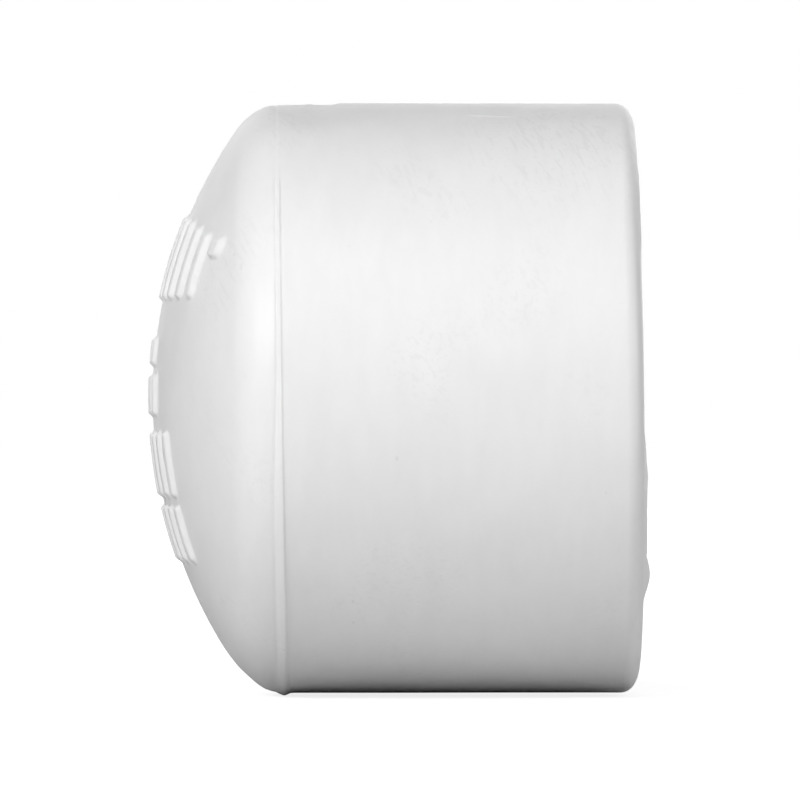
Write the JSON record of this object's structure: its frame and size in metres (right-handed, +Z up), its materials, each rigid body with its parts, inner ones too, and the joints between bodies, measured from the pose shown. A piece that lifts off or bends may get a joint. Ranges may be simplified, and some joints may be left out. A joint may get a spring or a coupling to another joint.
{
  "type": "pipe cap",
  "caption": "Domed socket cap in white PVC that closes the end of a one inch solvent-weld pressure pipe.",
  "frame": {"origin": "on the pipe's axis, halfway between the rim at the mouth and the tops of the raised marks on the dome", "axes": "+X along the pipe's axis, out of the mouth towards the pipe; +Z up with the cap lying on its side, its raised marks upright; -Y towards the viewer"},
  "size_m": [0.034, 0.0412, 0.0412],
  "materials": {
    "white_pvc": "as-moulded satin, slightly waxy, faint scuffs"
  },
  "bodies": {
    "root": {"cap_body": "white_pvc"}
  },
  "joints": []
}
